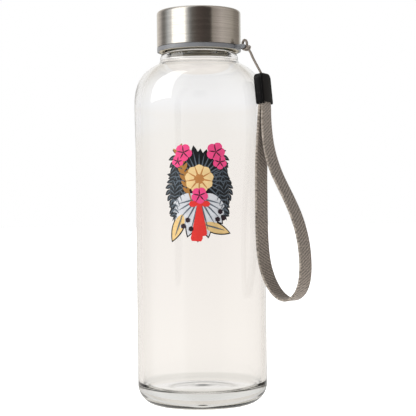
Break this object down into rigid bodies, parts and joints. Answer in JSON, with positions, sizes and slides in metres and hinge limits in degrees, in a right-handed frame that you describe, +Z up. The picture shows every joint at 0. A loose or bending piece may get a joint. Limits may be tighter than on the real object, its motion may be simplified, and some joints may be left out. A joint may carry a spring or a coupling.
{
  "type": "glass water bottle",
  "caption": "Clear glass water bottle with a screw-on brushed steel cap and a woven wrist strap hung from a swivelling ring.",
  "frame": {"origin": "centre of the glass base, on the plane it stands on", "axes": "+Z up along the bottle's axis; +X towards the strap's eye"},
  "size_m": [0.0938, 0.0684, 0.205],
  "materials": {
    "clear_glass": "clear, fire polished",
    "brushed_steel": "circular brushed",
    "grey_polypropylene": "moulded satin",
    "silicone": "matt",
    "grey_ring": "moulded satin",
    "cord": "braided",
    "black_plastic": "moulded satin",
    "crimp_steel": "bright pressed",
    "webbing": "twill woven"
  },
  "bodies": {
    "bottle": {"glass_bottle": "clear_glass"},
    "seal": {"cap_gasket": "silicone"},
    "cap": {"cap_shell": "brushed_steel", "cap_core": "grey_polypropylene"},
    "ring": {"swivel_ring": "grey_ring"},
    "cord": {"hitch_cord": "cord"},
    "clip": {"clip_inner_half": "black_plastic", "clip_outer_half": "black_plastic", "strap_crimp": "crimp_steel", "webbing_strap": "webbing"}
  },
  "joints": [
    {"name": "cap_lift", "type": "slide", "parent": "bottle", "child": "seal", "axis": [0, 0, 1], "range_m": [0, 0.018]},
    {"name": "cap_turn", "type": "hinge", "parent": "seal", "child": "cap", "pos_m": [0, 0, 0.195], "axis": [0, 0, 1], "range_deg": [0, 1620]},
    {"name": "ring_swivel", "type": "hinge", "parent": "seal", "child": "ring", "pos_m": [0, 0, 0.185], "axis": [0, 0, 1], "continuous": true},
    {"name": "strap_swing", "type": "hinge", "parent": "ring", "child": "cord", "pos_m": [0.0266, 0, 0.18495], "axis": [0, -1, 0], "range_deg": [0, 120]},
    {"name": "clip_swing", "type": "hinge", "parent": "cord", "child": "clip", "pos_m": [0.0356, 0, 0.1706], "axis": [0, -1, 0], "range_deg": [0, 70]}
  ],
  "couplings": [
    {"joint": "cap_lift", "follows": "cap_turn", "m_per_rad": 0.0006366}
  ]
}
